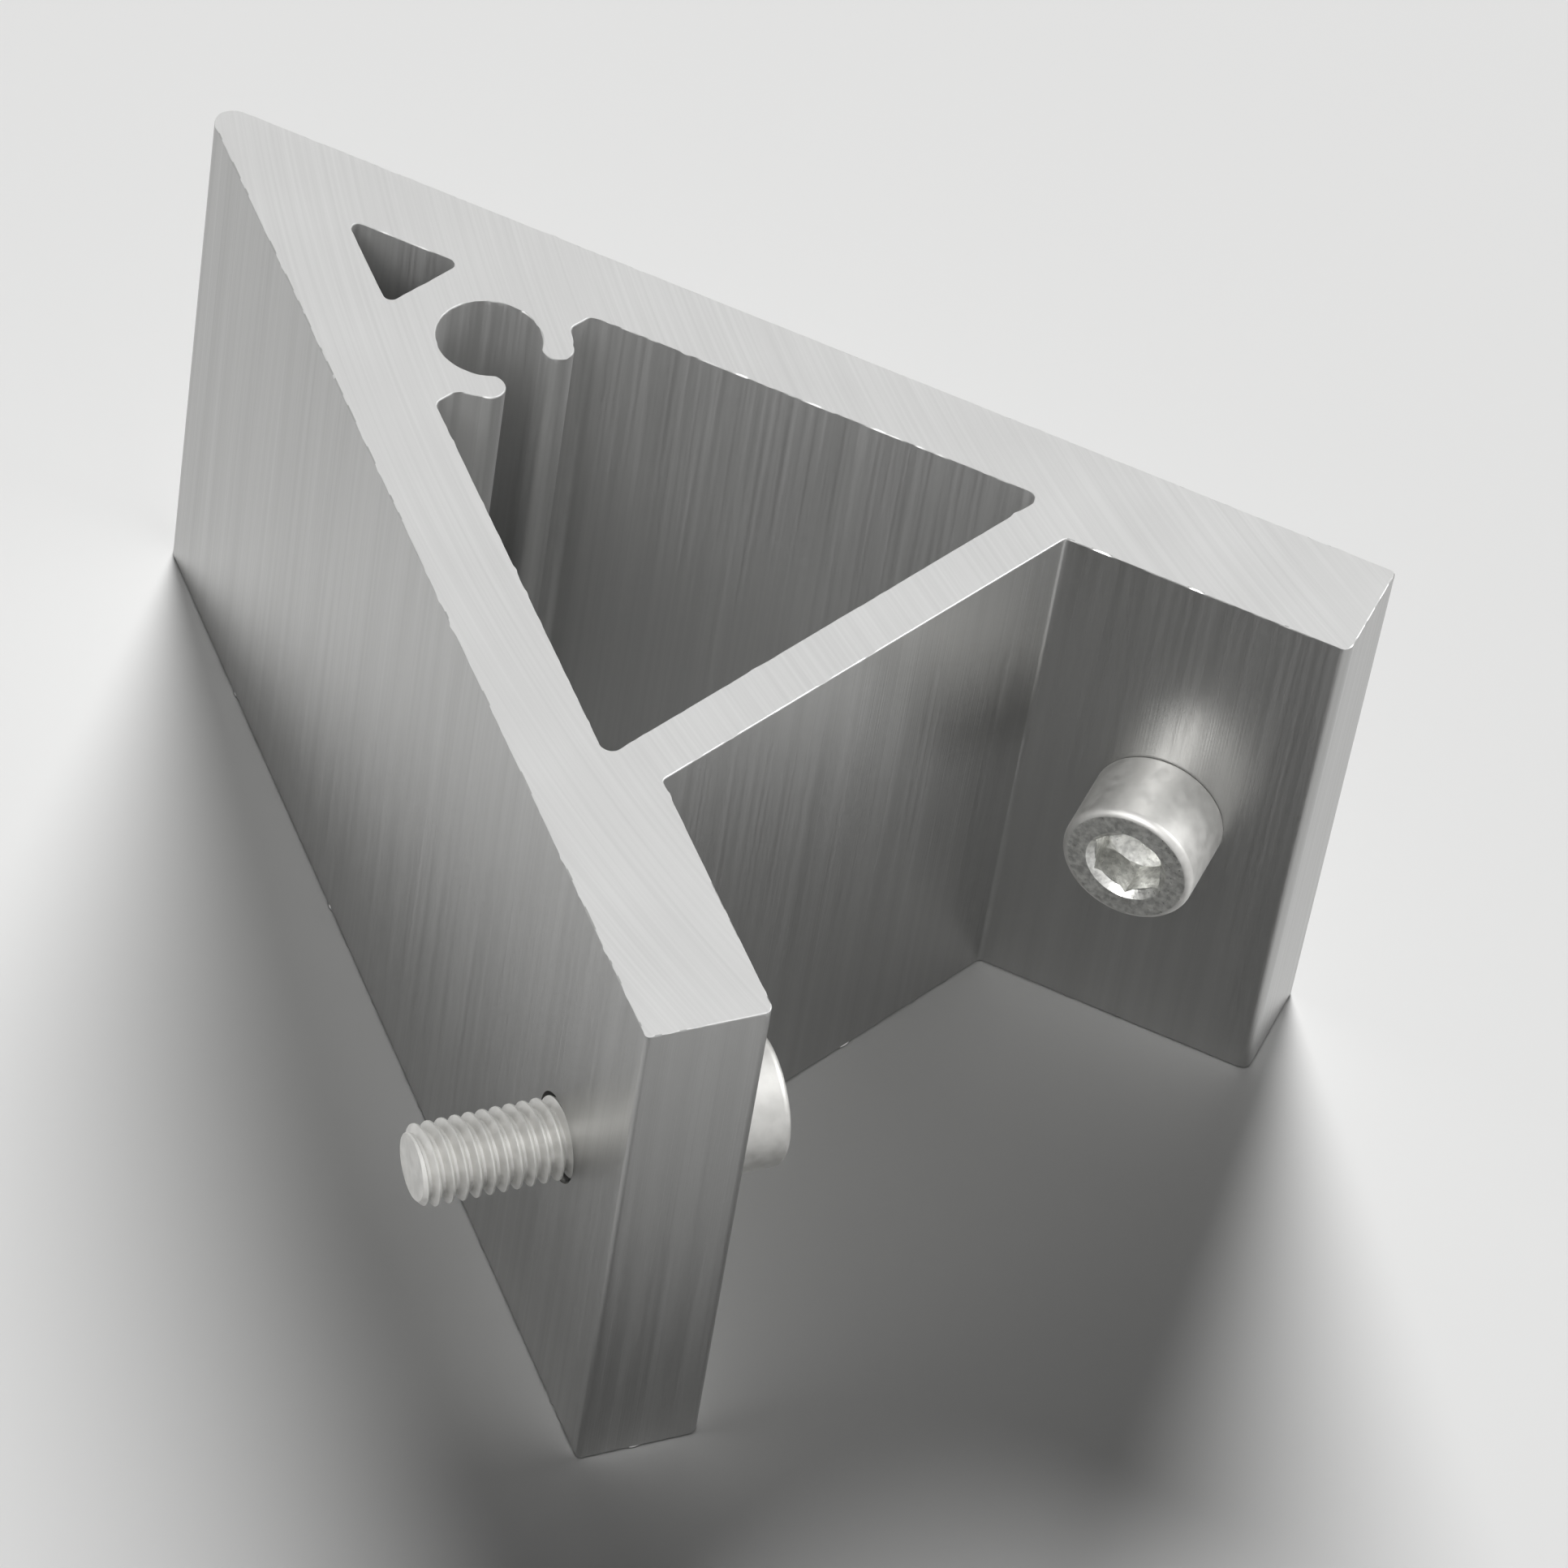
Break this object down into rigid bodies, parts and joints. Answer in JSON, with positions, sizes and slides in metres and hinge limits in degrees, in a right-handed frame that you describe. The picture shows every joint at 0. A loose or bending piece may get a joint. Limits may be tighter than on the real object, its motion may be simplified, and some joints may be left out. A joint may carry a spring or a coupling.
{
  "type": "angle brace",
  "caption": "Extruded metal brace that joins two slotted profiles at an acute angle, with a socket screw through each flange.",
  "frame": {"origin": "on the axis of the round screw port, at the lower sawn face", "axes": "+X along the line that halves the angle, from the closed nose to the open end; +Y across, towards one flange; +Z along the extrusion, upwards from the sawn face it stands on"},
  "size_m": [0.0896, 0.0866, 0.045],
  "materials": {
    "extruded_aluminium": "plain extruded faces with fine lengthwise streaks, sawn ends with fine saw marks",
    "zinc_plated_steel": "matte zinc plating"
  },
  "bodies": {
    "root": {"brace": "extruded_aluminium", "socket_screws": "zinc_plated_steel"}
  },
  "joints": []
}
